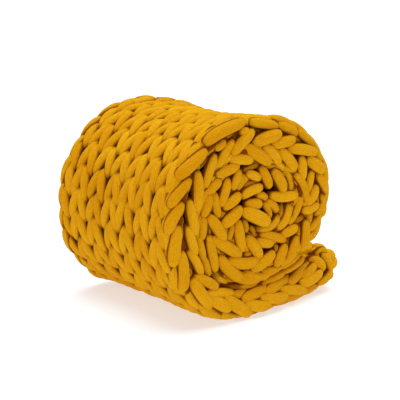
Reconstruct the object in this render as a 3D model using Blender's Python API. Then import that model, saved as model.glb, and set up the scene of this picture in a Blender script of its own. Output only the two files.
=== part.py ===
"""Chunky-knit weighted blanket, folded to a narrow strip and rolled up on its side.

The roll lies along X, with the strip's knitted fold edges facing +X and -X. The strip is wound
clockwise when seen from +X, starting from a loose end that lies on the floor towards +Y, and it gets
tighter towards the core. All sizes are metres, +Z is up, and the origin is on the floor under the
middle of the bounding box.

The whole blanket is one closed solid: a belt section is carried along the winding line, and the knit
stitches that show are raised in its faces, as pairs of slanting yarn legs.
"""

from collections import namedtuple

import bmesh
import bpy
import numpy as np

# --- driving dimensions -------------------------------------------------------------------------

ROLL_LENGTH = 0.355        # from fold edge to fold edge, along X
STITCH_ROW = 0.048         # one row of stitches, measured along the winding line
WALES = 6.5                # columns of stitches on the outside of the roll, between the two folds
YARN_GROOVE = 0.009        # how deep the grooves between yarn legs are
LEG_SLANT = 0.55           # how far a leg leans along the winding line, in rows
FOLD_DEPTH = 0.022         # how far a fold edge rounds back from its outermost point
FOLD_SQUARE = 0.85         # 1 for a round fold edge, less for a squarer one
END_ROUNDING = 0.7         # rounding of the strip's two short ends, as a part of half its thickness
ROWS_PER_STITCH = 3        # cross-sections along each row of stitches
SETTLE = 0.0015            # what is nearer to the floor than this is pressed flat on it

CORE_Y = -0.00412          # centre of the winding
CORE_Z = 0.220
MIDDLE_X = 0.0291          # middle of the winding's length; its loose end reaches further to -X
TAIL_TIP_Y = 0.22538       # tip of the loose end
TAIL_LIFT = 0.010          # how far the loose end's tip stands off the floor
TAIL_LIFT_START = 0.08938  # the loose end lies flat up to this Y
TAIL_FULLER = 0.027        # how much thicker the loose end gets towards its tip

WAIST = 0.008              # the top of the roll is this much slimmer halfway along
FAR_FLARE = 0.009          # and this much fuller at its -X end

MUSTARD = (0.66, 0.36, 0.018, 1.0)
YARN_ROUGHNESS = 0.9

# The winding, turn by turn, counted inwards from the floor under the core: reach is the distance from
# the core to the middle of the wrap, thick is the wrap's thickness, near_in is how far its +X fold is
# set in and far_out how far its -X fold stands out (metres).
Wrap = namedtuple("Wrap", "turn reach thick near_in far_out")
WRAPS = [
    Wrap(0.000, 0.1925, 0.055, 0.004, 0.022),
    Wrap(0.125, 0.213, 0.057, 0.000, 0.020),
    Wrap(0.250, 0.187, 0.053, 0.000, 0.008),
    Wrap(0.375, 0.151, 0.047, 0.002, 0.000),
    Wrap(0.500, 0.119, 0.046, 0.012, 0.000),
    Wrap(0.625, 0.126, 0.049, 0.014, 0.000),
    Wrap(0.750, 0.138, 0.053, 0.008, 0.000),
    Wrap(0.875, 0.130, 0.050, 0.006, 0.000),
    Wrap(1.000, 0.134, 0.048, 0.006, 0.000),
    Wrap(1.125, 0.150, 0.056, 0.003, 0.000),
    Wrap(1.250, 0.131, 0.050, 0.000, 0.000),
    Wrap(1.375, 0.098, 0.045, 0.000, 0.000),
    Wrap(1.500, 0.0685, 0.041, 0.000, 0.000),
    Wrap(1.625, 0.074, 0.046, 0.000, 0.000),
    Wrap(1.750, 0.081, 0.047, 0.000, 0.000),
    Wrap(1.875, 0.078, 0.046, 0.002, -0.002),
    Wrap(2.000, 0.084, 0.044, 0.004, -0.004),
    Wrap(2.125, 0.091, 0.047, 0.004, -0.004),
    Wrap(2.250, 0.077, 0.045, 0.004, -0.004),
    Wrap(2.375, 0.046, 0.036, 0.006, -0.005),
    Wrap(2.500, 0.024, 0.033, 0.008, -0.006),
    Wrap(2.750, 0.031, 0.036, 0.010, -0.008),
    Wrap(3.000, 0.037, 0.035, 0.012, -0.010),
    Wrap(3.180, 0.033, 0.034, 0.014, -0.012),
]

# The loose end leans towards -X as it runs out: how far, at its tip.
TAIL_SKEW_NEAR = 0.055
TAIL_SKEW_FAR = 0.040
TAIL_SKEW_BEND = 1.3       # 1 for a straight lean, more for one that grows towards the tip
COVERED_FROM_TURN = 0.97   # from here inwards the outside of the wrap is hidden
COVERED_RIDGE = 0.8        # how full a hidden face is kept, where a groove counts 0 and a leg 1
TAIL_OPEN = 0.190          # length of the loose end whose upper face shows
LYING = 0.265              # length of the blanket whose outside is hidden against the floor
LYING_SPARSE = 5           # there, one column of the knit in this many is drawn, pressed flat

# Knitted fold edge, from the outside of the wrap round to its inside. angle is measured from the
# end's outermost point towards the outside, ridge is 1 on a yarn leg and 0 in a groove, and lead says
# how far a line of the knit runs ahead at that groove, as a part of LEG_SLANT.
Edge = namedtuple("Edge", "angle ridge lead")
Column = namedtuple("Column", "face across angle ridge lead plain_lead step")
FOLD_EDGE = [
    Edge(80.0, 0, 0.0),
    Edge(52.0, 1, 0.5),
    Edge(24.0, 0, 1.0),
    Edge(-4.0, 1, 0.5),
    Edge(-32.0, 0, 0.0),
    Edge(-60.0, 1, 0.5),
    Edge(-88.0, 0, 1.0),
]

MID_FOLD = 10.0            # the fold column nearer than this to the outermost point is its middle
HIDDEN_EDGE = 70.0         # fold columns past this angle belong to the face that they meet
DENSE = 0.001              # spacing of the points that the winding line is worked out with
SPIRAL_POINTS = 2000       # and how many of them its spiral is first drawn with
FIRST_RING = 0.06          # first cross-section past a short end, as a part of its rounding
EASE_ROWS = 1.5            # rows over which the knit's slant fades out at a short end
WELD = 0.00005             # points closer than this are one

# A yarn leg from its lower end to its upper one, one row for each of ROWS_PER_STITCH: height is a
# part of YARN_GROOVE, and drift is how far its crest has moved from the groove inside its V towards
# the groove between two Vs, where 0 is midway and 1 is a groove.
Leg = namedtuple("Leg", "height drift")
LEG_SHAPE = [
    Leg(0.30, -0.45),
    Leg(1.00, -0.20),
    Leg(1.00, 0.35),
]


# --- winding line -------------------------------------------------------------------------------

def through_wraps(turn, column):
    """Smooth curve (cubic, Catmull-Rom) through one column of WRAPS at the given turns."""
    turns = np.array([w.turn for w in WRAPS])
    values = np.array([getattr(w, column) for w in WRAPS])
    slopes = np.gradient(values, turns)
    i = np.clip(np.searchsorted(turns, turn, side="right") - 1, 0, len(turns) - 2)
    span = turns[i + 1] - turns[i]
    t = (turn - turns[i]) / span
    start = (2 * t**3 - 3 * t**2 + 1) * values[i] + (t**3 - 2 * t**2 + t) * span * slopes[i]
    end = (3 * t**2 - 2 * t**3) * values[i + 1] + (t**3 - t**2) * span * slopes[i + 1]
    return start + end


def winding_line():
    """Middle line of the wrap from the loose end's tip to the core, as a dict of columns by length.

    The loose end runs along the floor to the foot of the winding, and the rest is a spiral about the
    core whose reach follows WRAPS. Columns: s, y, z, thick, near (x of the +X fold), far (x of the
    -X fold), turn, and the outward normal ny, nz.
    """
    first = WRAPS[0]
    out = np.arange(TAIL_TIP_Y, CORE_Y, -DENSE)
    rise = np.clip((out - TAIL_LIFT_START) / (TAIL_TIP_Y - TAIL_LIFT_START), 0, 1)
    away = (out - CORE_Y) / (TAIL_TIP_Y - CORE_Y)
    turn = np.linspace(0, WRAPS[-1].turn, SPIRAL_POINTS)
    reach = through_wraps(turn, "reach")
    angle = -np.pi / 2 - 2 * np.pi * turn

    y = np.concatenate([out, CORE_Y + reach * np.cos(angle)])
    thick = np.concatenate([first.thick + TAIL_FULLER * away**2, through_wraps(turn, "thick")])
    lying = thick[:len(out)] / 2 + TAIL_LIFT * rise**2
    z = np.concatenate([lying, CORE_Z + reach * np.sin(angle)])
    lean = away**TAIL_SKEW_BEND
    near_in = np.concatenate([first.near_in + TAIL_SKEW_NEAR * lean, through_wraps(turn, "near_in")])
    far_out = np.concatenate([first.far_out + TAIL_SKEW_FAR * lean, through_wraps(turn, "far_out")])
    turns = np.concatenate([CORE_Y - out, turn])

    length = np.concatenate([[0], np.cumsum(np.hypot(np.diff(y), np.diff(z)))])
    s = np.arange(0, length[-1], DENSE)
    y = np.interp(s, length, y)
    z = np.interp(s, length, z)
    along_y = np.gradient(y, s)
    along_z = np.gradient(z, s)
    size = np.hypot(along_y, along_z)
    return {
        "s": s,
        "y": y,
        "z": z,
        "ny": -along_z / size,
        "nz": along_y / size,
        "thick": np.interp(s, length, thick),
        "near": MIDDLE_X + ROLL_LENGTH / 2 - np.interp(s, length, near_in),
        "far": MIDDLE_X - ROLL_LENGTH / 2 - np.interp(s, length, far_out),
        "turn": np.interp(s, length, turns),
    }


# --- knitted surface ----------------------------------------------------------------------------

def rounding(line, s):
    """Part of the full thickness at length s: 1 along the blanket, rounded off at both its ends."""
    radius = np.interp(s, line["s"], line["thick"]) / 2 * END_ROUNDING
    inside = np.clip(np.minimum(s, line["s"][-1] - s) / radius, FIRST_RING, 1)
    return np.sqrt(1 - (1 - inside)**2)


def place(line, s, column, ridge, drift):
    """Points of the belt on one column of the knit, at the lengths s, moved by drift columns.

    A fold column lies round a squared-off half circle, and one on a face lies across the roll at the
    column's part of the way. A groove, where ridge is 0, is sunk by YARN_GROOVE.
    """
    y, z, ny, nz = (np.interp(s, line["s"], line[k]) for k in ("y", "z", "ny", "nz"))
    near, far = (np.interp(s, line["s"], line[k]) for k in ("near", "far"))
    half_thick = np.interp(s, line["s"], line["thick"]) * rounding(line, s) / 2
    groove = YARN_GROOVE * (1 - ridge)
    moved = drift * column.step
    bend = np.radians(column.angle + (moved if column.face == "fold" else 0))
    towards = np.sign(bend) * abs(np.sin(bend))**FOLD_SQUARE
    if column.face == "fold":
        end = near if column.across > 0 else -far
        back = FOLD_DEPTH * (1 - np.cos(bend)) + groove * np.cos(bend)
        x = column.across * (end - back)
        off = towards * (half_thick - groove * abs(np.sin(bend)))
    else:
        edge = np.radians(FOLD_EDGE[0].angle)
        reach = (near - far) / 2 - FOLD_DEPTH * (1 - np.cos(edge))
        across = column.across + moved
        x = (near + far) / 2 + across * reach
        slimmer = WAIST * (1 - across**2) * np.clip(z / CORE_Z, 0, 1)
        fuller = FAR_FLARE * np.maximum(-across, 0)**2
        shape = fuller - slimmer if column.face == "outside" else 0
        off = towards * (half_thick - groove + shape)
        if column.face == "outside":
            above_floor = z + nz * half_thick
            pressed = np.clip(1 - above_floor / YARN_GROOVE, 0, 1) * (nz < 0)
            off = off + pressed * (half_thick - off)
    height = z + nz * off
    return np.stack([x, y + ny * off, np.where(height < SETTLE, 0, height)], axis=-1)


def knit_columns():
    """Lines of the knit round the belt, in order, each with its face, place, ridge and lead.

    plain_lead is the lead where the face is covered and its knit is left out. step is how far it is
    to the next column: an angle round a fold, a part of the way on a face. The lines run from the +X fold's outer groove across the outside of the roll to the -X fold, round
    that fold, back across the inside and round the +X fold.
    """
    steps = int(WALES * 4)
    lead = (0.0, 0.5, 1.0, 0.5)
    swapped = steps % 4 == 2
    step = 2 / steps
    turn = FOLD_EDGE[0].angle - FOLD_EDGE[1].angle
    outside = [Column("outside", 1 - k * step, 90.0, k % 2, lead[k % 4], k / steps, -step)
               for k in range(1, steps)]
    inside = [c._replace(face="inside", across=-c.across, angle=-90.0, step=step) for c in outside]
    near = [Column("fold", 1, e.angle, e.ridge, e.lead, e.lead, turn) for e in reversed(FOLD_EDGE)]
    far = [c._replace(across=-1, step=-turn) for c in reversed(near)]
    if swapped:
        far = [c._replace(lead=1 - c.lead, plain_lead=1 - c.lead) for c in far]
    return near[-1:] + outside + far + inside + near[:-1]


def ladder(faces, points, upper, lower):
    """Triangles between two lines of points, for any two counts, over the shorter diagonal each time.

    Where the lines share an end point, the triangle there would have no area and is left out.
    """
    def apart(a, b):
        return np.linalg.norm(points[a] - points[b])

    i = j = 0
    while i < len(upper) - 1 or j < len(lower) - 1:
        if j == len(lower) - 1:
            upper_next = True
        elif i == len(upper) - 1:
            upper_next = False
        else:
            upper_next = apart(upper[i + 1], lower[j]) <= apart(upper[i], lower[j + 1])
        if upper_next:
            face = (upper[i], upper[i + 1], lower[j])
            i += 1
        else:
            face = (upper[i], lower[j + 1], lower[j])
            j += 1
        if len(set(face)) == 3:
            faces.append(face)


def join_belts(faces, points, upper, lower):
    """Skin between two belts, each a dict of column number to point, from shared column to column."""
    shared = [c for c in upper if c in lower]
    for start, end in zip(shared, shared[1:] + shared[:1]):
        sides = []
        for belt in (upper, lower):
            inner = [belt[c] for c in belt if start < c and (c < end or end < start)]
            sides.append([belt[start]] + inner + [belt[end]])
        ladder(faces, points, *sides)


def close_belt(faces, points, belt, columns):
    """Cap over a belt's open end: its outer half is joined to its inner half, from fold to fold."""
    far, near = [c for c in belt if columns[c].face == "fold" and abs(columns[c].angle) < MID_FOLD]
    outer = [belt[c] for c in belt if c >= near] + [belt[c] for c in belt if c <= far]
    inner = [belt[c] for c in reversed(belt) if far <= c <= near]
    ladder(faces, points, outer, inner)


def knitted_roll():
    """Points and faces of the rolled blanket as one closed belt carried along the winding line."""
    line = winding_line()
    columns = knit_columns()
    length = line["s"][-1]
    rows = int(length / STITCH_ROW * ROWS_PER_STITCH)
    centre = np.linspace(0, length, rows + 1)
    turn = np.interp(centre, line["s"], line["turn"])
    ease = np.clip(np.minimum(centre, length - centre) / (EASE_ROWS * STITCH_ROW), 0, 1)
    legs = [LEG_SHAPE[r % ROWS_PER_STITCH] for r in range(rows + 1)]
    height = np.array([leg.height for leg in legs])
    drift = np.array([leg.drift for leg in legs]) * ease
    covered_from = np.interp(COVERED_FROM_TURN, turn, centre)
    seen = {"fold": (-np.inf, np.inf), "outside": (LYING, covered_from), "inside": (-np.inf, TAIL_OPEN)}

    points = []
    belts = [{} for _ in centre]
    for number, column in enumerate(columns):
        face = column.face
        if face == "fold" and abs(column.angle) > HIDDEN_EDGE:
            face = "outside" if column.angle > 0 else "inside"
        start, end = seen[face]
        inward = np.minimum(centre - start, end - centre)
        shown = np.clip(inward / STITCH_ROW - 1 / ROWS_PER_STITCH, 0, 1)
        lead = column.plain_lead + (column.lead - column.plain_lead) * shown
        s = centre + (lead - 0.5) * LEG_SLANT * STITCH_ROW * ease
        ridge = COVERED_RIDGE + (column.ridge * height - COVERED_RIDGE) * shown
        ahead = columns[(number + 1) % len(columns)].lead - columns[number - 1].lead
        lean = drift * column.ridge * ahead * shown
        spots = place(line, np.clip(s, 0, length), column, ridge, lean)
        start, end = seen[column.face]
        drawn = (centre > start) & (centre < end)
        if number % LYING_SPARSE == 0:
            drawn |= centre < start
        for r in np.flatnonzero(drawn | (centre < min(start, STITCH_ROW / 2))):
            belts[r][number] = len(points)
            points.append(spots[r])

    faces = []
    for upper, lower in zip(belts, belts[1:]):
        join_belts(faces, points, upper, lower)
    close_belt(faces, points, belts[0], columns)
    close_belt(faces, points, belts[-1], columns)
    return np.array(points), faces


# --- object -------------------------------------------------------------------------------------

def clear_scene():
    """Remove every object that the open scene holds."""
    for old in list(bpy.data.objects):
        bpy.data.objects.remove(old, do_unlink=True)


def yarn_material():
    """Matte mustard cotton."""
    material = bpy.data.materials.new("mustard_yarn")
    material.use_nodes = True
    shader = material.node_tree.nodes["Principled BSDF"]
    shader.inputs["Base Color"].default_value = MUSTARD
    shader.inputs["Roughness"].default_value = YARN_ROUGHNESS
    shader.inputs["Metallic"].default_value = 0.0
    material.diffuse_color = MUSTARD
    return material


def make_blanket():
    """The rolled blanket as one object."""
    points, faces = knitted_roll()
    mesh = bpy.data.meshes.new("rolled_blanket")
    mesh.from_pydata(points.tolist(), [], [tuple(f) for f in faces])
    shape = bmesh.new()
    shape.from_mesh(mesh)
    bmesh.ops.remove_doubles(shape, verts=shape.verts, dist=WELD)
    bmesh.ops.recalc_face_normals(shape, faces=shape.faces)
    shape.to_mesh(mesh)
    shape.free()
    mesh.shade_smooth()
    mesh.materials.append(yarn_material())
    blanket = bpy.data.objects.new("rolled_blanket", mesh)
    bpy.context.scene.collection.objects.link(blanket)
    return blanket


clear_scene()
make_blanket()
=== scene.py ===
"""Looks of the rolled weighted blanket: hand-knitted tube yarn on a pale studio floor.

Lengths are metres in the part's frame: +Z up, X along the roll, +Y towards the loose end. The knit
is mapped on a belt that is wound up: s is the length along the winding, from the loose end's tip to
the core, and v counts yarn legs round the belt's section. v runs from 0 at the +X end of the
outside to 13 at its -X end, to 16 round the -X fold, to 29 along the inside, and from -3 to 0 round
the +X fold. An even v is a groove inside a V of the knit, an odd one a groove between two Vs.
"""

from collections import namedtuple

import bpy
import numpy as np
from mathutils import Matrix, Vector


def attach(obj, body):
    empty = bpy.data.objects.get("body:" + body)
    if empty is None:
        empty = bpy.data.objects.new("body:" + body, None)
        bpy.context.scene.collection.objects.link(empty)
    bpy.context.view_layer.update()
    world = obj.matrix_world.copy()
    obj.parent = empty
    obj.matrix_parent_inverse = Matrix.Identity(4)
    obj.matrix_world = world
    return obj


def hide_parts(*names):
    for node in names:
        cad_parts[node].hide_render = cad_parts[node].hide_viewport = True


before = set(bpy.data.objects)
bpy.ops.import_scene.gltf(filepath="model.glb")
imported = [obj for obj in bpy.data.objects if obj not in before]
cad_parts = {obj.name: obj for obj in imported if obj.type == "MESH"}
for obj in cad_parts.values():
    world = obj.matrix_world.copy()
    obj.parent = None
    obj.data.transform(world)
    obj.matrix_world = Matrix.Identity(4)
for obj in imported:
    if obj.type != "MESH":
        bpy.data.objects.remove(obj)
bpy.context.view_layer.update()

# --- blanket ------------------------------------------------------------------------------------

ROLL_LENGTH = 0.355
LEGS_OUTSIDE = 13
LEGS_FOLD = 3
LEGS_ROUND = 2 * (LEGS_OUTSIDE + LEGS_FOLD)
FOLD_DEPTH = 0.018
FOLD_SQUARE = 0.80         # power that squares off a fold's half ellipse
FOLD_GROOVES = (80.0, 14.0, -48.0, -100.0)   # angles of the grooves round a fold, outside to inside
CORE_Y = -0.00412
CORE_Z = 0.220
MIDDLE_X = 0.0291
TAIL_TIP_Y = 0.22538
TAIL_LIFT = 0.019          # how far the loose end's tip is lifted, and the y from which it lifts
TAIL_LIFT_START = 0.08938
TAIL_FULLER = 0.027        # how much thicker the loose end is at its tip
TAIL_SKEW_NEAR = 0.055     # how far its two edges are set towards -X there, and the bend's power
TAIL_SKEW_FAR = 0.040
TAIL_SKEW_BEND = 1.3
TAIL_OPEN = 0.200          # length of the loose end whose upper face shows
TIP_ROUND = 0.030          # length over which the strip's short ends round off
TIP_LEAST = 0.01           # square of the least part of the thickness that is left there
WAIST = 0.008              # how far the outside is drawn in halfway along the roll
FAR_FLARE = 0.004          # how far it stands out at the -X end
FAR_IN = 0.006             # yarn kept in from the strip's -X edge
PACKED_IN = 0.004          # how far yarn swells inwards and outwards where the wraps are packed
PACKED_OUT = 0.003
PACKED_FROM_TURN = 0.95    # the turn from which it swells outwards, and the turns it takes to swell
PACKED_TURNS = 0.2
FIRST_ROW = 0.013          # where the first row's lower line lies
COVERED_FROM_TURN = 1.03   # the turn from which the next wrap out covers the outside
BACK_FROM_TURN = 0.55      # the turn from which the knit behind the +X rim lies less deep
NEAR_TO_TURN = 2.33        # where the knit behind the legs of the +X end stops
FAR_STOP = 0.030           # how far short of the core's end the -X end's knit stops
SETTLE = 0.004             # how far yarn is let down to the floor, and the height below which it is
SETTLE_FROM = 0.050
SQUEEZED = 0.002           # height into which all yarn below it is pressed
DENSE = 0.001              # spacing of the winding line's points
SPIRAL_POINTS = 2000
LINE_PAST = 0.060          # how far the line goes on past both ends
SLOPE_POINTS = 20          # how many points give its direction there
NORMAL_SPAN = 0.006        # half the spans over which the belt's normal is measured
NORMAL_LEGS = 0.35
INNER_IN = 0.012           # how far the folded layers lie below the belt's face, and in from +X
INNER_IN_NEAR = 0.026
INNER_SHORT = 0.016        # how far short of the strip's ends they stop
INNER_RINGS = 320
INNER_AROUND = 64

# The winding by turns from the roll's lowest point: the reach of its middle line from the core, its
# thickness, and how far its edges are set in at +X and out at -X.
Wrap = namedtuple("Wrap", "turn reach thick near_in far_out")
WRAPS = [
    Wrap(0.000, 0.1925, 0.055, 0.004, 0.022),
    Wrap(0.125, 0.213, 0.057, 0.000, 0.020),
    Wrap(0.250, 0.187, 0.053, 0.000, 0.008),
    Wrap(0.375, 0.151, 0.047, 0.002, 0.000),
    Wrap(0.500, 0.119, 0.046, 0.012, 0.000),
    Wrap(0.625, 0.126, 0.049, 0.014, 0.000),
    Wrap(0.750, 0.138, 0.053, 0.008, 0.000),
    Wrap(0.875, 0.130, 0.050, 0.006, 0.000),
    Wrap(1.000, 0.134, 0.048, 0.006, 0.000),
    Wrap(1.125, 0.150, 0.056, 0.003, 0.000),
    Wrap(1.250, 0.131, 0.050, 0.000, 0.000),
    Wrap(1.375, 0.098, 0.045, 0.000, 0.000),
    Wrap(1.500, 0.0685, 0.041, 0.000, 0.000),
    Wrap(1.625, 0.074, 0.046, 0.000, 0.000),
    Wrap(1.750, 0.081, 0.047, 0.000, 0.000),
    Wrap(1.875, 0.078, 0.046, 0.002, -0.002),
    Wrap(2.000, 0.084, 0.044, 0.004, -0.004),
    Wrap(2.125, 0.091, 0.047, 0.004, -0.004),
    Wrap(2.250, 0.077, 0.045, 0.004, -0.004),
    Wrap(2.375, 0.046, 0.036, 0.006, -0.005),
    Wrap(2.500, 0.024, 0.033, 0.008, -0.006),
    Wrap(2.750, 0.031, 0.036, 0.010, -0.008),
    Wrap(3.000, 0.037, 0.035, 0.012, -0.010),
    Wrap(3.180, 0.033, 0.034, 0.014, -0.012),
]

# Length of one row of stitches along the winding by turns, which are metres on the loose end.
RowPitch = namedtuple("RowPitch", "turn pitch")
ROW_PITCHES = [
    RowPitch(-0.30, 0.046),
    RowPitch(-0.05, 0.045),
    RowPitch(0.10, 0.042),
    RowPitch(1.00, 0.042),
    RowPitch(1.30, 0.038),
    RowPitch(3.30, 0.035),
]

# A yarn leg's cross-sections from its lower to its upper end: part of its length, across from its
# V's inner groove (0) to its outer one (1), sink below the belt's face, and part of its full width.
Step = namedtuple("Step", "part across sink width")
LEG_STEPS = [
    Step(0.00, 0.03, 0.0170, 0.28),
    Step(0.11, 0.08, 0.0085, 0.56),
    Step(0.27, 0.22, 0.0028, 0.86),
    Step(0.46, 0.43, 0.0000, 1.00),
    Step(0.65, 0.66, 0.0000, 1.00),
    Step(0.82, 0.86, 0.0020, 0.84),
    Step(0.94, 0.96, 0.0080, 0.60),
    Step(1.00, 0.97, 0.0160, 0.34),
]
# Legs of the outside, and of the fold from its outer corner inwards. From and to stretch a leg's
# way across, start and end are rows from its row's lower line, out is how far it stands out, and
# blunt is how far its ends go from LEG_STEPS towards BLUNT_WIDTHS and BLUNT_SINK of the sink. The
# back and sunk builds are for knit that lies behind the +X end's own legs.
Build = namedtuple("Build", "half_width half_height out across_from across_to start end blunt")
BLUNT_WIDTHS = [0.74, 0.95, 1.00, 1.00, 1.00, 1.00, 0.95, 0.74]
BLUNT_SINK = 0.25
OUTSIDE_LEG = Build(0.0131, 0.0118, -0.0020, 0.14, 0.87, -0.30, 1.34, 0.0)
FOLD_BUILDS = [
    OUTSIDE_LEG,
    Build(0.0124, 0.0124, 0.0005, -0.28, 1.12, -0.36, 1.42, 0.5),
    Build(0.0118, 0.0116, -0.0005, 0.04, 0.98, -0.30, 1.36, 0.5),
    Build(0.0110, 0.0108, 0.0000, 0.00, 1.00, -0.26, 1.30, 0.3),
]
BACK_BUILDS = [
    OUTSIDE_LEG,
    Build(0.0124, 0.0124, 0.0005, -0.28, 1.12, -0.36, 1.42, 0.5),
    Build(0.0118, 0.0114, -0.0060, -0.02, 1.02, -0.30, 1.34, 0.6),
    Build(0.0110, 0.0108, -0.0080, 0.00, 1.00, -0.26, 1.30, 0.6),
]
SUNK_BUILDS = [
    OUTSIDE_LEG,
    Build(0.0124, 0.0120, -0.0060, -0.08, 1.08, -0.32, 1.38, 0.6),
    Build(0.0118, 0.0114, -0.0100, -0.02, 1.02, -0.30, 1.34, 0.6),
    Build(0.0110, 0.0108, -0.0080, 0.00, 1.00, -0.26, 1.30, 0.6),
]
SUNK_UNSHADED = 0.6            # how much of a sunk leg's depth does not darken it with painted shade
FLATTER = 0.7              # power of a leg's width that its height follows
OUTSIDE_START = 0.002      # the least lengths at which legs start, on the faces and on the folds
FOLD_START = 0.014

# How unlike each other the legs are, as the spread of seeded normal shifts: in leg counts across,
# in parts of the width, and in metres along and deeper. The last of a leg's SHIFTS is a spare one,
# drawn so that the legs' shades stay as they are.
SHIFTS = 7
BEND = 0.05
ASIDE = 0.03
WIDER = 0.05
AHEAD = 0.0018
DEEPER = 0.0008

TIP_ROWS = [-68.0, -24.0, 22.0, 66.0]   # angles round the tip of the rows of legs that close it
TIP_LEG_LEAN = 34.0
TIP_LEG_LONG = 2.6         # in widths of a leg
TIP_FIRST = -0.9
TIP_LEGS = 8
TIP_OUT = 0.002            # how far these legs stand out
TIP_TILT = 2.0             # the spreads of their shifts, in degrees round the tip,
TIP_ASIDE = 0.07           # in leg counts,
TIP_WIDER = 0.06           # and in parts of the width
CORNER_LEG = 1.1           # where the corners' legs lie, and the angles between which they run
CORNER_FROM = 100.0
CORNER_TO = -26.0
CORNER_STEEP = 0.3         # how fast painted shade darkens a corner's legs below their tops, to the others

# Legs of the +X end, in millimetres: a leg's middle line runs through three points, its start,
# middle and end. The legs of the spiral lie deep below x = FACE_X. The legs of the rim and of the
# loose end lie below the strip's own edge, by deep_start at one end and deep_end at the other.
FaceLeg = namedtuple("FaceLeg", "y0 z0 y1 z1 y2 z2 width deep")
RimLeg = namedtuple("RimLeg", "y0 z0 y1 z1 y2 z2 width deep_start deep_end")
MM = 0.001
FACE_X = 0.199
FACE_LEVEL = 8.0           # mm: a leg that lies deeper counts as sunk, and its painted shade darkens it less
FACE_SINKS = [0.006, 0.002, 0.000, 0.000, 0.000, 0.000, 0.002, 0.006]   # of its cross-sections
FACE_BLUNT = 0.75          # how blunt its ends are, as in Build
FACE_SHADES = 7.3          # how often the shades run from 0 to 1 over the legs
FACE_TOP = 0.0100          # how far above a leg's middle line its painted shade is counted from
FACE_STEEP = 1.5           # how fast the painted shade darkens below that, to a leg of the knit
RIM_STEEP = 0.3            # and how fast on the rim's rounding
RIM_LEGS = [
    RimLeg(-136, 319, -102, 337, -45, 349, 25, 9, 9),
    RimLeg(-189, 268, -167, 286, -133, 310, 25, 12, 8),
    RimLeg(-207, 222, -190, 244, -167, 265, 22, 10, 7),
    RimLeg(-210, 178, -201, 204, -183, 226, 24, 11, 8),
    RimLeg(-191, 191, -198, 159, -199, 124, 26, 9, 10),
    RimLeg(-186, 148, -181, 112, -180, 78, 25, 9, 10),
    RimLeg(-38, 348, -5, 343, 32, 334, 21, 8, 7),
    RimLeg(29, 338, 53, 330, 76, 317, 20, 7, 6),
    RimLeg(76, 324, 96, 310, 119, 291, 20, 6, 8),
    RimLeg(-164, 95, -147, 69, -122, 40, 27, 10, 10),
    RimLeg(-128, 57, -104, 42, -80, 30, 25, 9, 9),
    RimLeg(-96, 52, -66, 32, -31, 10, 26, 12, 11),
    RimLeg(-50, 34, -17, 23, 14, 21, 24, 9, 8),
    RimLeg(-14, 37, 19, 29, 62, 27, 23, 9, 7),
    RimLeg(36, 40, 75, 33, 120, 22, 22, 9, 8),
    RimLeg(95, 39, 132, 38, 172, 44, 25, 9, 8),
    RimLeg(-139, 65, -98, 58, -64, 48, 23, 8, 20),
    RimLeg(-80, 51, -47, 46, -17, 46, 22, 15, 23),
    RimLeg(-55, 39, -22, 43, 25, 46, 26, 10, 20),
    RimLeg(-4, 40, 32, 46, 83, 50, 26, 10, 21),
    RimLeg(65, 41, 90, 50, 148, 62, 25, 10, 21),
    RimLeg(101, 48, 129, 52, 154, 60, 24, 11, 12),
    RimLeg(148, 61, 159, 65, 184, 46, 27, 22, 10),
    RimLeg(167, 71, 187, 79, 191, 74, 19, 23, 12),
    RimLeg(177, 74, 195, 63, 202, 40, 20, 13, 6),
    RimLeg(204, 48, 192, 32, 159, 25, 18, 6, 7),
]
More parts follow.
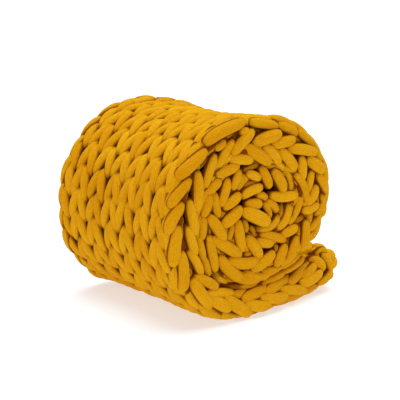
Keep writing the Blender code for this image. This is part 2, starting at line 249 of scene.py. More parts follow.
FACE_LEGS = [
    FaceLeg(-27, 333, -53, 317, -75, 297, 25, 7),
    FaceLeg(-71, 322, -91, 302, -107, 276, 20, 6),
    FaceLeg(-110, 301, -123, 276, -135, 244, 21, 6),
    FaceLeg(-150, 278, -148, 243, -151, 209, 24, 5),
    FaceLeg(-167, 231, -161, 201, -153, 167, 23, 5),
    FaceLeg(-171, 188, -163, 159, -154, 134, 22, 4),
    FaceLeg(-172, 146, -154, 124, -141, 95, 20, 4),
    FaceLeg(-160, 98, -135, 87, -109, 70, 22, 2),
    FaceLeg(-122, 235, -128, 217, -136, 198, 23, 7),
    FaceLeg(-135, 199, -136, 179, -139, 157, 20, 8),
    FaceLeg(-147, 166, -141, 145, -134, 121, 19, 8),
    FaceLeg(-135, 130, -129, 110, -123, 92, 18, 8),
    FaceLeg(-125, 166, -118, 133, -109, 97, 22, 7),
    FaceLeg(-116, 101, -107, 86, -98, 69, 17, 13),
    FaceLeg(-30, 309, -2, 318, 33, 322, 27, 7),
    FaceLeg(10, 304, 37, 307, 65, 310, 24, 7),
    FaceLeg(46, 294, 82, 291, 119, 280, 24, 7),
    FaceLeg(96, 271, 114, 261, 136, 246, 26, 7),
    FaceLeg(123, 244, 134, 227, 148, 205, 24, 11),
    FaceLeg(131, 208, 139, 185, 141, 161, 20, 11),
    FaceLeg(130, 173, 128, 145, 111, 119, 20, 13),
    FaceLeg(43, 324, 53, 319, 63, 312, 16, 17),
    FaceLeg(-82, 287, -57, 287, -31, 282, 23, 7),
    FaceLeg(-58, 310, -19, 291, 8, 274, 27, 7),
    FaceLeg(-110, 264, -87, 270, -61, 277, 23, 7),
    FaceLeg(-132, 235, -117, 245, -101, 254, 22, 7),
    FaceLeg(-110, 235, -110, 215, -102, 191, 20, 8),
    FaceLeg(-127, 198, -108, 175, -91, 150, 25, 6),
    FaceLeg(-121, 159, -88, 139, -54, 117, 25, 7),
    FaceLeg(-102, 125, -81, 97, -52, 76, 27, 8),
    FaceLeg(-85, 116, -51, 103, -17, 105, 25, 6),
    FaceLeg(-51, 90, -21, 76, 13, 70, 20, 9),
    FaceLeg(-33, 88, -6, 98, 19, 112, 26, 6),
    FaceLeg(-14, 81, 16, 78, 44, 80, 14, 10),
    FaceLeg(-7, 305, 12, 290, 30, 271, 25, 7),
    FaceLeg(29, 295, 49, 278, 68, 257, 25, 7),
    FaceLeg(82, 279, 84, 256, 83, 235, 24, 7),
    FaceLeg(108, 250, 102, 231, 97, 212, 21, 7),
    FaceLeg(118, 221, 111, 204, 96, 192, 25, 7),
    FaceLeg(85, 180, 103, 180, 124, 187, 21, 6),
    FaceLeg(63, 157, 79, 163, 94, 168, 18, 13),
    FaceLeg(95, 162, 95, 134, 86, 105, 24, 7),
    FaceLeg(74, 134, 65, 114, 53, 94, 24, 6),
    FaceLeg(48, 122, 37, 106, 26, 87, 25, 7),
    FaceLeg(-84, 258, -90, 235, -100, 211, 22, 7),
    FaceLeg(-57, 269, -66, 253, -73, 236, 20, 8),
    FaceLeg(-94, 207, -76, 216, -60, 225, 24, 6),
    FaceLeg(-97, 176, -77, 188, -57, 201, 27, 6),
    FaceLeg(-68, 181, -75, 163, -82, 146, 17, 10),
    FaceLeg(-61, 182, -59, 154, -51, 126, 25, 7),
    FaceLeg(-43, 149, -26, 130, -11, 107, 26, 7),
    FaceLeg(-46, 115, -36, 117, -26, 118, 14, 11),
    FaceLeg(-43, 261, -29, 256, -12, 248, 20, 8),
    FaceLeg(-53, 261, -34, 269, -8, 273, 16, 13),
    FaceLeg(-53, 236, -34, 242, -9, 237, 16, 13),
    FaceLeg(-53, 265, -48, 252, -36, 246, 14, 12),
    FaceLeg(-13, 269, -1, 251, 10, 231, 22, 7),
    FaceLeg(14, 261, 32, 240, 41, 220, 25, 7),
    FaceLeg(28, 261, 50, 260, 76, 250, 19, 10),
    FaceLeg(47, 250, 59, 235, 58, 217, 16, 10),
    FaceLeg(-10, 272, 12, 267, 37, 267, 14, 12),
    FaceLeg(60, 249, 84, 229, 94, 190, 19, 4),
    FaceLeg(82, 214, 77, 190, 66, 169, 19, 8),
    FaceLeg(-14, 150, 16, 142, 51, 129, 20, 8),
    FaceLeg(37, 141, 55, 146, 73, 150, 23, 7),
    FaceLeg(-21, 139, -3, 133, 17, 129, 22, 7),
    FaceLeg(26, 127, 29, 117, 27, 107, 15, 12),
    FaceLeg(-54, 197, -25, 184, 5, 168, 29, 4),
    FaceLeg(-27, 162, 13, 159, 32, 181, 20, 10),
    FaceLeg(24, 153, 47, 167, 55, 196, 22, 9),
    FaceLeg(8, 217, 40, 210, 75, 211, 23, 7),
    FaceLeg(-54, 219, -32, 230, -7, 232, 23, 9),
    FaceLeg(-21, 218, -8, 218, 5, 210, 18, 10),
    FaceLeg(-44, 206, -28, 205, -11, 203, 24, 8),
    FaceLeg(-5, 206, 7, 191, 12, 175, 16, 9),
    FaceLeg(0, 208, 18, 198, 28, 185, 19, 9),
    FaceLeg(-48, 183, -42, 169, -41, 155, 16, 11),
    FaceLeg(-34, 166, -26, 159, -22, 147, 14, 12),
    FaceLeg(-68, 236, -61, 232, -51, 230, 17, 15),
    FaceLeg(-57, 332, -49, 333, -41, 330, 19, 7),
    FaceLeg(88, 218, 93, 202, 91, 184, 19, 9),
    FaceLeg(-120, 178, -115, 168, -117, 159, 12, 14),
    FaceLeg(-75, 225, -68, 229, -59, 232, 15, 14),
    FaceLeg(-110, 310, -101, 313, -91, 320, 18, 7),
    FaceLeg(-55, 237, -48, 233, -40, 233, 12, 15),
    FaceLeg(76, 231, 84, 216, 87, 202, 16, 10),
    FaceLeg(54, 105, 67, 103, 78, 107, 14, 15),
    FaceLeg(-112, 89, -96, 81, -79, 74, 15, 11),
    FaceLeg(-63, 75, -33, 67, -4, 65, 14, 11),
    FaceLeg(37, 78, 60, 85, 83, 93, 14, 11),
    FaceLeg(57, 188, 63, 176, 58, 165, 14, 14),
    FaceLeg(-98, 71, -51, 60, -1, 56, 14, 14),
    FaceLeg(-14, 56, 22, 60, 58, 68, 14, 14),
    FaceLeg(48, 66, 76, 74, 104, 86, 13, 15),
]

LEG_ANGLES = np.radians([0, 60, 120, 180, 240, 300])   # points of a cross-section, 90 outward
OUTWARD = 0.25             # turn of a cross-section that faces outward
CAGE = 1.13                # the tube's cage to the smooth tube in it
CAP_REACH = 0.3            # how far its end points lie past its last cross-sections, in spacings
UV_METRES = 0.080          # length of yarn that one unit of its UV map covers
UV_SHIFT = (7, 11)         # how far the shade shifts the map round and along a tube


def through(table, x_name, y_name, x):
    """Smooth curve through one column of a table (cubic, Catmull-Rom slopes), read at x."""
    xs = np.array([getattr(row, x_name) for row in table])
    ys = np.array([getattr(row, y_name) for row in table])
    slopes = np.gradient(ys, xs)
    i = np.clip(np.searchsorted(xs, x, side="right") - 1, 0, len(xs) - 2)
    span = xs[i + 1] - xs[i]
    t = (x - xs[i]) / span
    start = (2 * t**3 - 3 * t**2 + 1) * ys[i] + (t**3 - 2 * t**2 + t) * span * slopes[i]
    end = (3 * t**2 - 2 * t**3) * ys[i + 1] + (t**3 - t**2) * span * slopes[i + 1]
    return start + end


def winding_line():
    """Middle line of the wound strip: a run along the floor, then a spiral that follows WRAPS.

    A dict of arrays by length: s, y, z, the outward normal ny and nz, thick, near, far and turn,
    besides the whole length. The line goes on straight past both ends, for yarn to round them off.
    """
    first = WRAPS[0]
    out = np.arange(TAIL_TIP_Y, CORE_Y, -DENSE)
    rise = np.clip((out - TAIL_LIFT_START) / (TAIL_TIP_Y - TAIL_LIFT_START), 0, 1)
    away = (out - CORE_Y) / (TAIL_TIP_Y - CORE_Y)
    lean = away**TAIL_SKEW_BEND
    turn = np.linspace(0, WRAPS[-1].turn, SPIRAL_POINTS)
    reach, thick, near_in, far_out = (
        through(WRAPS, "turn", name, turn) for name in ("reach", "thick", "near_in", "far_out")
    )
    angle = -np.pi / 2 - 2 * np.pi * turn
    thick = np.concatenate([first.thick + TAIL_FULLER * away**2, thick])
    y = np.concatenate([out, CORE_Y + reach * np.cos(angle)])
    z = np.concatenate([thick[:len(out)] / 2 + TAIL_LIFT * rise**2, CORE_Z + reach * np.sin(angle)])
    near_in = np.concatenate([first.near_in + TAIL_SKEW_NEAR * lean, near_in])
    far_out = np.concatenate([first.far_out + TAIL_SKEW_FAR * lean, far_out])
    columns = {
        "y": y,
        "z": z,
        "thick": thick,
        "near": MIDDLE_X + ROLL_LENGTH / 2 - near_in,
        "far": MIDDLE_X - ROLL_LENGTH / 2 - far_out,
        "turn": np.concatenate([CORE_Y - out, turn]),
    }
    length = np.concatenate([[0], np.cumsum(np.hypot(np.diff(y), np.diff(z)))])
    s = np.arange(-LINE_PAST, length[-1] + LINE_PAST, DENSE)
    line = {name: np.interp(s, length, values) for name, values in columns.items()}
    n = SLOPE_POINTS
    for name in ("y", "z"):
        values = columns[name]
        before = (values[n] - values[0]) / (length[n] - length[0])
        after = (values[-1] - values[-n]) / (length[-1] - length[-n])
        line[name] += before * np.minimum(s, 0) + after * np.maximum(s - length[-1], 0)
    along_y, along_z = np.gradient(line["y"], s), np.gradient(line["z"], s)
    size = np.hypot(along_y, along_z)
    line.update(s=s, ny=-along_z / size, nz=along_y / size, length=length[-1])
    return line


LINE = winding_line()
ROWS_DONE = np.cumsum(DENSE / np.interp(
    LINE["turn"], [row.turn for row in ROW_PITCHES], [row.pitch for row in ROW_PITCHES]
))
ROWS_DONE -= np.interp(FIRST_ROW, LINE["s"], ROWS_DONE)


def along(name, s):
    """One column of the winding line, read at the lengths s."""
    return np.interp(s, LINE["s"], LINE[name])


def belt(s, v):
    """Point of the wound belt's face at length s and leg count v round its section.

    The section is a rounded rectangle: flat outside and inside, and folds that follow a squared-off
    half ellipse. The thickness runs out as a quarter circle at the strip's two short ends. The
    outside is drawn in by a parabola halfway along the roll, and flares as a square towards -X.
    """
    v = np.mod(v + LEGS_FOLD, LEGS_ROUND) - LEGS_FOLD
    inside_from = LEGS_OUTSIDE + LEGS_FOLD
    near, far, thick, z = (along(name, s) for name in ("near", "far", "thick", "z"))
    far = far + FAR_IN
    from_end = np.minimum(s, LINE["length"] - s) / TIP_ROUND
    half = thick / 2 * np.sqrt(np.clip(1 - np.clip(1 - from_end, 0, 1)**2, TIP_LEAST, 1))

    legs_in = np.where(v < 0, -v, v - LEGS_OUTSIDE)
    angle = np.radians(np.interp(legs_in, np.arange(LEGS_FOLD + 1), FOLD_GROOVES))
    back = FOLD_DEPTH * (1 - np.cos(angle))
    fold_x = np.where(v < 0, near - back, far + back)
    fold_off = np.sign(angle) * np.abs(np.sin(angle))**FOLD_SQUARE

    across = np.where(
        v <= LEGS_OUTSIDE, 1 - 2 * v / LEGS_OUTSIDE, -1 + 2 * (v - inside_from) / LEGS_OUTSIDE
    )
    reach = (near - far) / 2 - FOLD_DEPTH * (1 - np.cos(np.radians(FOLD_GROOVES[0])))
    flat_x = (near + far) / 2 + across * reach
    on_fold = (v < 0) | ((v > LEGS_OUTSIDE) & (v < inside_from))
    off_side = np.where(on_fold, fold_off, np.where(v <= LEGS_OUTSIDE, 1, -1))
    outer = np.where(on_fold, np.clip(np.sin(angle), 0, 1), v <= LEGS_OUTSIDE)
    turn = along("turn", s)
    swell_out = PACKED_OUT * np.clip((turn - PACKED_FROM_TURN) / PACKED_TURNS, 0, 1)
    swell_in = PACKED_IN * np.clip(turn / PACKED_TURNS, 0, 1)
    half = half + np.where(off_side >= 0, swell_out, swell_in)
    flare = np.where(v < 0, 0, np.where(on_fold, 1, np.maximum(-across, 0)**2))
    waist = np.where(on_fold, 0, (1 - across**2) * np.clip(z / CORE_Z, 0, 1))
    off = half * off_side + outer * (FAR_FLARE * flare - WAIST * waist)
    x = np.where(on_fold, fold_x, flat_x)
    return np.stack([x, along("y", s) + along("ny", s) * off, z + along("nz", s) * off], axis=-1)


def unit(vectors):
    """Vectors of length 1 in the same directions."""
    return vectors / np.linalg.norm(vectors, axis=-1, keepdims=True)


def belt_normal(s, v):
    """Outward normal of the belt's face, as the cross product of its two ways over short spans."""
    ahead = belt(s + NORMAL_SPAN, v) - belt(s - NORMAL_SPAN, v)
    round_ = belt(s, v + NORMAL_LEGS) - belt(s, v - NORMAL_LEGS)
    return unit(np.cross(ahead, round_))


def above_floor(points):
    """Points let down by up to SETTLE near the floor, none below it.

    A height z below SQUEEZED becomes SQUEEZED * exp((z - SQUEEZED) / SQUEEZED).
    """
    z = points[..., 2]
    z = z - SETTLE * np.clip(1 - z / SETTLE_FROM, 0, 1)
    squeezed = SQUEEZED * np.exp(np.minimum((z - SQUEEZED) / SQUEEZED, 0))
    points[..., 2] = np.where(z < SQUEEZED, squeezed, z)
    return points


# --- mesh ---------------------------------------------------------------------------------------

def tubes(name, face, normal, centre, half_width, half_height, shade, steep=None):
    """Closed tubes, one for each row of centre, as one object.

    A point of a tube's cage is centre + half_width * cos(a) * side + half_height * sin(a) * up for
    each of LEG_ANGLES at each of its cross-sections, with both sizes times CAGE, and one point
    closes each end. The side is square to the tube's way and to normal, and up is square to both. A
    subdivision rounds the cage. The UV map runs round the tube and along it in units of UV_METRES.
    Attribute tone keeps the tube's own shade of colour, and a second one how far a point lies below
    face, times steep, for the painted shade in the yarn's creases.
    """
    count, steps = centre.shape[:2]
    around = len(LEG_ANGLES)
    forward = unit(np.gradient(centre, axis=1))
    side = unit(np.cross(forward, normal))
    up = np.cross(side, forward)
    rings = (
        centre[:, :, None]
        + CAGE * half_width[:, :, None, None] * np.cos(LEG_ANGLES)[:, None] * side[:, :, None]
        + CAGE * half_height[:, :, None, None] * np.sin(LEG_ANGLES)[:, None] * up[:, :, None]
    )
    # Painted shade: each point's depth below face, which the material turns into darker colour.
    shade_depth = ((face[:, :, None] - rings) * normal[:, :, None]).sum(axis=-1)
    if steep is not None:
        shade_depth *= steep[..., None]
    shade_depth = np.concatenate([shade_depth.reshape(count, -1), shade_depth[:, 0, :1], shade_depth[:, -1, :1]], axis=1)
    first = centre[:, 0] - (centre[:, 1] - centre[:, 0]) * CAP_REACH
    last = centre[:, -1] + (centre[:, -1] - centre[:, -2]) * CAP_REACH
    points = np.concatenate([rings.reshape(count, -1, 3), first[:, None], last[:, None]], axis=1)
    points = above_floor(points)

    each = steps * around + 2
    i, j = np.meshgrid(np.arange(steps - 1), np.arange(around), indexing="ij")
    i, j = i.ravel(), j.ravel()
    k = (j + 1) % around
    here, ahead = i * around, (i + 1) * around
    quads = np.stack([here + j, ahead + j, ahead + k, here + k], axis=-1)
    closing = (j == around - 1)[:, None] & np.array([False, False, True, True])
    j = np.arange(around)
    k = (j + 1) % around
    end = (steps - 1) * around
    caps = np.concatenate([
        np.stack([np.full_like(j, each - 2), j, k], axis=-1),
        np.stack([np.full_like(j, each - 1), end + k, end + j], axis=-1),
    ])
    shift = np.arange(count)[:, None, None] * each
    quads = (quads[None] + shift).reshape(-1, 4)
    caps = (caps[None] + shift).reshape(-1, 3)

    mesh = bpy.data.meshes.new(name)
    mesh.from_pydata(points.reshape(-1, 3), [], quads.tolist() + caps.tolist())
    run = np.cumsum(np.linalg.norm(np.diff(centre, axis=1, prepend=centre[:, :1]), axis=-1), axis=1)
    corner = np.concatenate([quads.ravel(), caps.ravel()])
    tube, place = np.divmod(corner, each)
    ring = np.where(place == each - 2, 0, np.where(place == each - 1, steps - 1, place // around))
    turn = np.where(place >= each - 2, OUTWARD, LEG_ANGLES[place % around] / (2 * np.pi))
    closing = np.concatenate([np.tile(closing, (count, 1)).ravel(), np.zeros(caps.size, bool)])
    turn = np.where(closing, 1.0, turn) + shade[tube] * UV_SHIFT[0]
    uv = np.stack([turn, run[tube, ring] / UV_METRES + shade[tube] * UV_SHIFT[1]], axis=-1)
    layer = mesh.uv_layers.new(name="yarn")
    layer.uv.foreach_set("vector", uv.astype(np.float32).ravel())
    for key, values in (("tone", np.repeat(shade, each)), ("shade_depth", shade_depth.ravel())):
        attribute = mesh.attributes.new(key, "FLOAT", "POINT")
        attribute.data.foreach_set("value", values.astype(np.float32))
    mesh.shade_smooth()
    made = piece_of(name, mesh)
    round_ = made.modifiers.new("round", "SUBSURF")
    round_.levels = round_.render_levels = 1
    return made


def piece_of(name, mesh):
    """An object of the mesh in the scene, at the origin."""
    made = bpy.data.objects.new(name, mesh)
    bpy.context.scene.collection.objects.link(made)
    return made


def grid_skin(name, points):
    """Closed skin of a grid of points whose rows are rings, with a fan over each end ring."""
    rings, around = points.shape[:2]
    ends = np.stack([points[0].mean(axis=0), points[-1].mean(axis=0)])
    i, j = np.meshgrid(np.arange(rings - 1), np.arange(around), indexing="ij")
    i, j = i.ravel(), j.ravel()
    k = (j + 1) % around
    here, ahead = i * around, (i + 1) * around
    quads = np.stack([here + j, here + k, ahead + k, ahead + j], axis=-1)
    j = np.arange(around)
    k = (j + 1) % around
    tip = rings * around
    last = (rings - 1) * around
    caps = np.concatenate([
        np.stack([np.full_like(j, tip), k, j], axis=-1),
        np.stack([np.full_like(j, tip + 1), last + j, last + k], axis=-1),
    ])
    mesh = bpy.data.meshes.new(name)
    mesh.from_pydata(
        np.concatenate([points.reshape(-1, 3), ends]), [], quads.tolist() + caps.tolist()
    )
    mesh.shade_smooth()
    return piece_of(name, mesh)


# --- yarn ---------------------------------------------------------------------------------------

def knit_legs(name, rows, cells, builds, seed, looser=1.0):
    """Yarn legs of the knit for every pair of a row and a cell, as one object of closed tubes.

    A leg's middle line is belt(s, v) lowered along the belt's normal by its half height and by its
    sink, with s, v and the sink following LEG_STEPS from its lower end to its upper one. Seeded
    shifts, times looser, make every leg a little different.
    """
    row, cell = (a.ravel().astype(float) for a in np.meshgrid(rows, cells, indexing="ij"))
    odd = np.mod(cell, 2)
    inner, outer = cell + odd, cell + 1 - odd
    past = np.where(cell < 0, -cell, cell - LEGS_OUTSIDE + 1)
    past = np.where((past < 0) | (past > LEGS_FOLD), 0, past).astype(int)
    build = Build(*np.array(builds)[past].T[:, :, None])
    chance = np.random.default_rng(seed)
    shifts = chance.normal(0, 1, (SHIFTS, len(row), 1)) * looser
    bend, wider, ahead, longer, deeper, aside = shifts[:-1]
    part, across, sink, width = np.array(LEG_STEPS).T
    width = width + build.blunt * (np.array(BLUNT_WIDTHS) - width)
    sink = sink * (1 - (1 - BLUNT_SINK) * build.blunt)
    across = build.across_from + (build.across_to - build.across_from) * across
    across = across + BEND * bend * np.sin(np.pi * part) + ASIDE * aside
    width = width * (1 + WIDER * wider)
    at_row = row[:, None] + build.start + (build.end - build.start) * part
    s = np.interp(at_row, ROWS_DONE, LINE["s"])
    s = s + AHEAD * ahead + AHEAD * longer * np.cos(np.pi * part)
    s = np.maximum(s, np.where(past > 0, FOLD_START, OUTSIDE_START)[:, None])
    v = inner[:, None] + (outer - inner)[:, None] * across
    normal = belt_normal(s, v)
    face = belt(s, v)
    half_height = build.half_height * width**FLATTER
    depth = sink + half_height - build.out + DEEPER * deeper
    centre = face - depth[..., None] * normal
    # Painted shade is counted from this face, which sinks with a sunk leg so that the leg darkens
    # less.
    face = face + SUNK_UNSHADED * np.minimum(build.out, 0)[..., None] * normal
    shade = chance.random(len(row))
    return tubes(name, face, normal, centre, build.half_width * width, half_height, shade)


def tip_legs(name, seed):
    """The braids that close the loose end's tip, and two legs round each of its corners.

    With a the angle round the tip, -90 degrees on the inside face and 90 on the outside one, a
    leg's middle line is belt(TIP_ROUND * (1 - cos a), v) lowered along the rounding's normal: sin a
    times the belt's normal plus cos a times the way out of the tip, turned towards X near a corner.
    A braid's legs run along the tip and lean up and down by turns. A corner's legs run up round it.
    """
    part, across, sink, width = np.array(LEG_STEPS).T
    starts = np.linspace(TIP_FIRST, LEGS_OUTSIDE - TIP_FIRST - TIP_LEG_LONG, TIP_LEGS)
    row, start = (a.ravel()[:, None] for a in np.meshgrid(TIP_ROWS, starts, indexing="ij"))
    lean = np.resize([1.0, -1.0], len(TIP_ROWS)).repeat(TIP_LEGS)[:, None] * TIP_LEG_LEAN
    corner = np.array([-CORNER_LEG, LEGS_OUTSIDE + CORNER_LEG]).repeat(2)[:, None]
    side = np.array([-1.0, 1.0, -1.0, 1.0])[:, None]
    chance = np.random.default_rng(seed)
    tilt, aside, wider = chance.normal(0, 1, (3, len(row) + len(corner), 1))
    braid_angle = row + lean * (across - 0.5)
    corner_angle = side * (CORNER_TO * (1 - part) + CORNER_FROM * part)
    angle = np.radians(np.concatenate([braid_angle, corner_angle]) + TIP_TILT * tilt)
    v = np.concatenate([start + TIP_LEG_LONG * part, corner + 0 * part]) + TIP_ASIDE * aside
    s = TIP_ROUND * (1 - np.cos(angle))
    turned = np.clip(-v / CORNER_LEG, 0, 1) - np.clip((v - LEGS_OUTSIDE) / CORNER_LEG, 0, 1)
    face = belt(s, np.where(angle > 0, v, LEGS_ROUND - LEGS_FOLD - v))
    none = 0 * s
    out = np.stack([none, along("ny", s), along("nz", s)], axis=-1)
    tipwards = np.stack([none, -along("nz", s), along("ny", s)], axis=-1)
    normal = np.sin(angle)[..., None] * out + np.cos(angle)[..., None] * tipwards
    normal[..., 0] = turned
    normal = unit(normal)
    width = width * (1 + TIP_WIDER * wider)
    half_height = OUTSIDE_LEG.half_height * width**FLATTER
    centre = face - (sink + half_height - TIP_OUT)[..., None] * normal
    half_width = OUTSIDE_LEG.half_width * width
    shade = chance.random(len(v))
    # How fast painted shade darkens the legs, less on the corners.
    steep = 1 - (1 - CORNER_STEEP) * np.abs(turned)
    return tubes(name, face, normal, centre, half_width, half_height, shade, steep)


def outermost(points):
    """Indices of the line's points nearest to points, on the loose end and the outermost wrap."""
    wrap = np.flatnonzero((LINE["s"] > 0) & (LINE["turn"] < COVERED_FROM_TURN))
    away_y = points[..., 1, None] - LINE["y"][wrap]
    away_z = points[..., 2, None] - LINE["z"][wrap]
    return wrap[np.hypot(away_y, away_z).argmin(axis=-1)]


def face_normal(points):
    """Outward normal at the +X end: +X, leaning out along the outermost wrap's rounding.

    It leans by how far a point lies outside the winding's middle line, in half thicknesses, and
    that lean is returned with it.
    """
    nearest = outermost(points)
    y, z, out_y, out_z, thick = (LINE[key][nearest] for key in ("y", "z", "ny", "nz", "thick"))
    out = (points[..., 1] - y) * out_y + (points[..., 2] - z) * out_z
    lean = np.clip(out / (thick / 2), 0, 1)
    return unit(np.stack([1 + 0 * lean, lean * out_y, lean * out_z], axis=-1)), lean


def end_lines(legs, part):
    """A table's columns in metres, and its legs' middle lines with x still 0.

    A line is the parabola through its leg's three points, at the parts of its length.
    """
    leg = type(legs[0])(*(MM * np.array(legs, float)).T[:, :, None])
    first = (1 - part) * (1 - 2 * part)
    middle = 4 * part * (1 - part)
    last = part * (2 * part - 1)
    y = first * leg.y0 + middle * leg.y1 + last * leg.y2
    z = first * leg.z0 + middle * leg.z1 + last * leg.z2
    return leg, np.stack([0 * y, y, z], axis=-1)


def face_legs(name):
    """The legs of RIM_LEGS and FACE_LEGS as tubes, their ends turned inwards."""
    part, _, _, width = np.array(LEG_STEPS).T
    rim, rim_line = end_lines(RIM_LEGS, part)
    face, face_line = end_lines(FACE_LEGS, part)
    edge = LINE["near"][outermost(rim_line)]
    rim_line[..., 0] = edge - rim.deep_start * (1 - part) - rim.deep_end * part
    face_line[..., 0] = FACE_X - face.deep
    line = np.concatenate([rim_line, face_line])
    half_width = np.concatenate([rim.width, face.width]) / 2
    sunk = np.concatenate([0 * rim.width, np.maximum(face.deep - FACE_LEVEL * MM, 0)])
    normal, lean = face_normal(line)
    centre = line - np.array(FACE_SINKS)[:, None] * normal
    width = half_width * (width + FACE_BLUNT * (np.array(BLUNT_WIDTHS) - width))
    # Painted shade is counted from top: FACE_TOP or the half width above the middle line, raised
    # further by how far a sunk leg is sunk.
    top = line + (np.minimum(half_width, FACE_TOP) + sunk)[..., None] * normal
    shade = np.linspace(0, FACE_SHADES, len(line)) % 1
    steep = FACE_STEEP + (RIM_STEEP - FACE_STEEP) * lean
    return tubes(name, top, normal, centre, width, width, shade, steep)


def inner_belt(name):
    """The folded layers inside the strip: belt(s, v) lowered by INNER_IN along its normal."""
    s = np.linspace(INNER_SHORT, LINE["length"] - INNER_SHORT, INNER_RINGS)[:, None]
    v = np.linspace(0, LEGS_ROUND, INNER_AROUND, endpoint=False)[None, :]
    s, v = np.broadcast_arrays(s, v)
    points = belt(s, v) - INNER_IN * belt_normal(s, v)
    points[..., 0] = np.minimum(points[..., 0], along("near", s) - INNER_IN_NEAR)
    return grid_skin(name, above_floor(points))


def rows_between(start, end):
    """Numbers of the stitch rows from one length of the winding to another."""
    return np.arange(*np.round(np.interp([start, end], LINE["s"], ROWS_DONE)))


back_from, covered_from, near_to = np.interp(
    [BACK_FROM_TURN, COVERED_FROM_TURN, NEAR_TO_TURN], LINE["turn"], LINE["s"]
)
open_rows = rows_between(0, covered_from)
sunk_rows = rows_between(0, back_from)
back_rows = rows_between(back_from, covered_from)
spiral_rows = rows_between(covered_from, near_to)
near_rows = rows_between(0, near_to)
loose_rows = rows_between(0, TAIL_OPEN)
far_rows = rows_between(covered_from, LINE["length"] - FAR_STOP)
outside_cells = np.arange(LEGS_OUTSIDE)
inside_cells = LEGS_OUTSIDE + LEGS_FOLD + outside_cells
near_cells = np.arange(-LEGS_FOLD, 0)
far_cells = LEGS_OUTSIDE + np.arange(LEGS_FOLD)
far_spiral_cells = np.append(far_cells, LEGS_OUTSIDE - 1)
pieces = [
    knit_legs("yarn_outside", open_rows, outside_cells, FOLD_BUILDS, seed=11),
    face_legs("yarn_near_end"),
    knit_legs("yarn_near_sunk", sunk_rows, near_cells, SUNK_BUILDS, seed=15, looser=1.5),
    knit_legs("yarn_near_back", back_rows, near_cells, BACK_BUILDS, seed=12, looser=1.3),
    knit_legs("yarn_near_spiral", spiral_rows, near_cells, SUNK_BUILDS, seed=19, looser=2.0),
    knit_legs("yarn_far_fold", open_rows, far_cells, FOLD_BUILDS, seed=13, looser=1.3),
    knit_legs("yarn_far_spiral", far_rows, far_spiral_cells, FOLD_BUILDS, seed=16, looser=2.0),
    tip_legs("yarn_tip", seed=17),
    knit_legs("yarn_near_inside", near_rows, inside_cells[-2:], FOLD_BUILDS, seed=18, looser=1.5),
    knit_legs("yarn_loose_end", loose_rows, inside_cells, FOLD_BUILDS, seed=14),
    inner_belt("folded_layers"),
]


# --- materials ----------------------------------------------------------------------------------

YARN_PALE = (0.84, 0.432, 0.007, 1.0)
YARN_DEEP = (0.68, 0.290, 0.001, 1.0)
# Painted shade: the dark brown that the yarn's colour runs to where it lies deep in creases and
# hollows.
CREASE_SHADE = (0.21, 0.050, 0.0005, 1.0)
CREASE_SHADE_FROM = 0.0040       # depths below the belt's face between which painted shade darkens the yarn in its creases
CREASE_SHADE_TO = 0.0115
# Painted shade: the folded layers inside the strip take the yarn's colours darkened as if in deep
# shade, so that holes between the legs look dark.
SHADED_LAYERS_PALE = (0.08, 0.025, 0.001, 1.0)
SHADED_LAYERS_DEEP = (0.05, 0.016, 0.001, 1.0)
Grain = namedtuple("Grain", "scale detail roughness")
DRIFT = Grain(3.0, 2.0, 0.5)
FUZZ = Grain(900.0, 3.0, 0.65)
PUFFS = Grain(95.0, 2.0, 0.5)
PATCHES = Grain(14.0, 2.0, 0.5)
MOTTLE = Grain(260.0, 3.0, 0.6)
RIBS = 20.0                # round a leg
RIB_DRIFT = 0.06           # how far they wander
RIB_HEIGHT = 0.30          # heights to the fuzz's
PUFF_HEIGHT = 2.2
LEG_TONE = 0.45            # tones to those of the broad patches
RIB_TONE = 0.22
MOTTLE_TONE = 1.6
TONE_LESS = 1.10           # what is taken off the sum of the tones
BUMP = 0.60
BUMP_METRES = 0.0012
SHEEN = (1.0, 0.70, 0.10, 1.0)


def wire(tree, kind, inputs=None, **settings):
    """A new node with its settings, whose inputs are given as values or as sockets to link from."""
    node = tree.nodes.new(kind)
    for key, value in settings.items():
        setattr(node, key, value)
    for key, value in (inputs or {}).items():
        if isinstance(value, bpy.types.NodeSocket):
            tree.links.new(value, node.inputs[key])
        else:
            node.inputs[key].default_value = value
    return node


def math_node(tree, operation, *values):
    """Output of a Math node on up to three values or sockets."""
    return wire(tree, "ShaderNodeMath", dict(enumerate(values)), operation=operation).outputs[0]


def noise_node(tree, vector, grain):
    """Output of a noise of the given grain, 0 to 1."""
    inputs = {
        "Vector": vector,
        "Scale": grain.scale,
        "Detail": grain.detail,
        "Roughness": grain.roughness,
    }
    return wire(tree, "ShaderNodeTexNoise", inputs).outputs["Fac"]


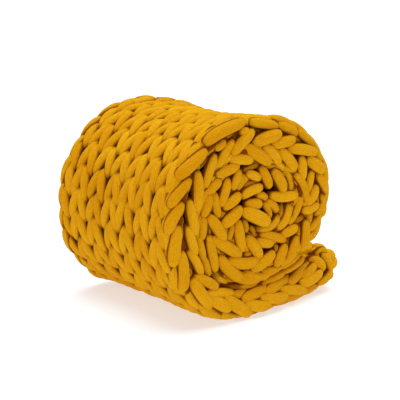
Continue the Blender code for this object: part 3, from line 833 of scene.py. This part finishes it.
def jersey_group():
    """Node group of the yarn's jersey skin, which puts out a height, a tone and a crease mask.

    The height adds up lengthwise ribs, puffs and fine fuzz. The tone adds up the ribs, a shade for
    each leg, broad patches and a fine mottle. The mask is painted shade in the yarn's creases: it
    rises with the depth below the yarn's face that the tubes keep as an attribute.
    """
    group = bpy.data.node_groups.new("jersey_skin", "ShaderNodeTree")
    ribs = group.interface.new_socket("Ribs", in_out="INPUT", socket_type="NodeSocketFloat")
    ribs.default_value = RIBS
    for name in ("Height", "Tone", "Crease Shade"):
        group.interface.new_socket(name, in_out="OUTPUT", socket_type="NodeSocketFloat")
    given = wire(group, "NodeGroupInput")
    uv = wire(group, "ShaderNodeUVMap", uv_map="yarn").outputs["UV"]
    place = wire(group, "ShaderNodeTexCoord").outputs["Object"]
    around = wire(group, "ShaderNodeSeparateXYZ", {"Vector": uv}).outputs["X"]
    wandering = math_node(group, "MULTIPLY_ADD", noise_node(group, uv, DRIFT), RIB_DRIFT, around)
    turns = math_node(group, "MULTIPLY", wandering, given.outputs["Ribs"])
    rib = math_node(group, "SINE", math_node(group, "MULTIPLY", turns, 2 * np.pi))
    fuzz = noise_node(group, place, FUZZ)
    puffs = noise_node(group, place, PUFFS)
    height = math_node(group, "MULTIPLY_ADD", rib, RIB_HEIGHT, fuzz)
    height = math_node(group, "MULTIPLY_ADD", puffs, PUFF_HEIGHT, height)
    leg = wire(group, "ShaderNodeAttribute", attribute_name="tone").outputs["Fac"]
    tone = math_node(group, "MULTIPLY_ADD", leg, LEG_TONE, noise_node(group, place, PATCHES))
    tone = math_node(group, "MULTIPLY_ADD", rib, RIB_TONE, tone)
    mottle = noise_node(group, place, MOTTLE)
    tone = math_node(group, "MULTIPLY_ADD", mottle, MOTTLE_TONE, tone)
    tone = math_node(group, "SUBTRACT", tone, TONE_LESS)
    # Painted shade: the deeper a point lies below the yarn's face, the more its colour runs to the
    # crease colour.
    shade_depth = wire(group, "ShaderNodeAttribute", attribute_name="shade_depth").outputs["Fac"]
    depths = {"Value": shade_depth, "From Min": CREASE_SHADE_FROM, "From Max": CREASE_SHADE_TO}
    crease = wire(group, "ShaderNodeMapRange", depths, interpolation_type="SMOOTHSTEP")
    results = {"Height": height, "Tone": tone, "Crease Shade": crease.outputs["Result"]}
    wire(group, "NodeGroupOutput", results)
    return group


def blend(tree, factor, first, second):
    """Output of a colour Mix node from first to second. Its colour sockets are 6 and 7."""
    mixed = wire(tree, "ShaderNodeMix", {0: factor, 6: first, 7: second}, data_type="RGBA")
    return mixed.outputs[2]


def yarn_material(name, group, deep, pale):
    """Matte brushed cotton jersey over a soft filling, deep to pale by its tone."""
    material = bpy.data.materials.new(name)
    material.use_nodes = True
    tree = material.node_tree
    shader = tree.nodes["Principled BSDF"]
    skin = wire(tree, "ShaderNodeGroup", node_tree=group)
    skin.inputs["Ribs"].default_value = RIBS
    color = blend(tree, skin.outputs["Tone"], deep, pale)
    # Painted shade: the colour runs to the dark crease colour in creases and hollows.
    color = blend(tree, skin.outputs["Crease Shade"], color, CREASE_SHADE)
    tree.links.new(color, shader.inputs["Base Color"])
    relief = {"Height": skin.outputs["Height"], "Strength": BUMP, "Distance": BUMP_METRES}
    bump = wire(tree, "ShaderNodeBump", relief)
    tree.links.new(bump.outputs["Normal"], shader.inputs["Normal"])
    shader.inputs["Roughness"].default_value = 0.9
    shader.inputs["Specular IOR Level"].default_value = 0.05
    shader.inputs["Sheen Weight"].default_value = 0.06
    shader.inputs["Sheen Roughness"].default_value = 0.5
    shader.inputs["Sheen Tint"].default_value = SHEEN
    return material


jersey = jersey_group()
yarn = yarn_material("mustard_jersey", jersey, YARN_DEEP, YARN_PALE)
# Painted shade: a darkened copy of the yarn for the folded layers inside.
shaded_yarn = yarn_material("mustard_jersey_painted_shade", jersey, SHADED_LAYERS_DEEP, SHADED_LAYERS_PALE)

for piece in pieces:
    piece.data.materials.append(shaded_yarn if piece.name == "folded_layers" else yarn)
    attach(piece, "root")
    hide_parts("rolled_blanket")


# --- studio -------------------------------------------------------------------------------------

TARGET = Vector((0.0290, -0.0191, 0.1845))
CAMERA_AZIMUTH = 53.25
CAMERA_ELEVATION = 11.46
CAMERA_DISTANCE = 1.965
FOCAL_PIXELS = 1057.6      # in a picture of PICTURE_PIXELS across
PICTURE_PIXELS = 400
SENSOR_WIDTH = 36.0
FLOOR_HALF = 60.0
FLOOR_COLOR = (0.52, 0.58, 0.64, 1.0)
FLOOR_GLOW = 0.57
FLOOR_GLOW_COLOR = (1.0, 0.99, 0.98, 1.0)
SKY = 0.46
SKY_COLOR = (1.0, 0.69, 0.68, 1.0)
SPREAD = 66.0              # degrees that each lamp's light comes from
OVERHEAD = 2.80
OVERHEAD_COLOR = (0.82, 1.07, 1.04)
OVERHEAD_FROM = Vector((-0.05, 0.12, 0.95))
FRONT = 0.36
FRONT_COLOR = (1.0, 0.68, 0.62)
FRONT_FROM = Vector((0.40, -0.75, 0.45))


def make_floor():
    """A wide plain floor, which glows a little so that it stays pale."""
    corners = [(x * FLOOR_HALF, y * FLOOR_HALF, 0) for x, y in ((-1, -1), (1, -1), (1, 1), (-1, 1))]
    mesh = bpy.data.meshes.new("floor")
    mesh.from_pydata(corners, [], [(0, 1, 2, 3)])
    floor = piece_of("floor", mesh)
    material = bpy.data.materials.new("pale_floor")
    material.use_nodes = True
    shader = material.node_tree.nodes["Principled BSDF"]
    shader.inputs["Base Color"].default_value = FLOOR_COLOR
    shader.inputs["Emission Color"].default_value = FLOOR_GLOW_COLOR
    shader.inputs["Emission Strength"].default_value = FLOOR_GLOW
    shader.inputs["Roughness"].default_value = 0.75
    shader.inputs["Specular IOR Level"].default_value = 0.1
    mesh.materials.append(material)


def add_lamp(name, energy, color, source):
    """A very large soft light from the direction of source."""
    light = bpy.data.lights.new(name, "SUN")
    light.energy = energy
    light.angle = np.radians(SPREAD)
    light.color = color
    lamp = bpy.data.objects.new(name, light)
    lamp.rotation_euler = (-source).to_track_quat("-Z", "Y").to_euler()
    bpy.context.scene.collection.objects.link(lamp)


def make_studio():
    """Even pale surroundings, a strong soft light overhead and a weak one from the front left."""
    world = bpy.data.worlds.new("studio")
    bpy.context.scene.world = world
    world.use_nodes = True
    sky = world.node_tree.nodes["Background"]
    sky.inputs["Color"].default_value = SKY_COLOR
    sky.inputs["Strength"].default_value = SKY
    add_lamp("overhead", OVERHEAD, OVERHEAD_COLOR, OVERHEAD_FROM)
    add_lamp("front", FRONT, FRONT_COLOR, FRONT_FROM)


def make_camera():
    """A long lens at the height of a low table, looking slightly down at the roll's spiral end."""
    az, el = np.radians(CAMERA_AZIMUTH), np.radians(CAMERA_ELEVATION)
    back = Vector((np.sin(az) * np.cos(el), -np.cos(az) * np.cos(el), np.sin(el)))
    data = bpy.data.cameras.new("camera")
    data.sensor_width = SENSOR_WIDTH
    data.lens = SENSOR_WIDTH * FOCAL_PIXELS / PICTURE_PIXELS
    camera = bpy.data.objects.new("camera", data)
    camera.location = TARGET + back * CAMERA_DISTANCE
    camera.rotation_euler = (-back).to_track_quat("-Z", "Y").to_euler()
    bpy.context.scene.collection.objects.link(camera)
    bpy.context.scene.camera = camera


make_floor()
make_studio()
make_camera()
bpy.context.scene.view_settings.view_transform = "Standard"
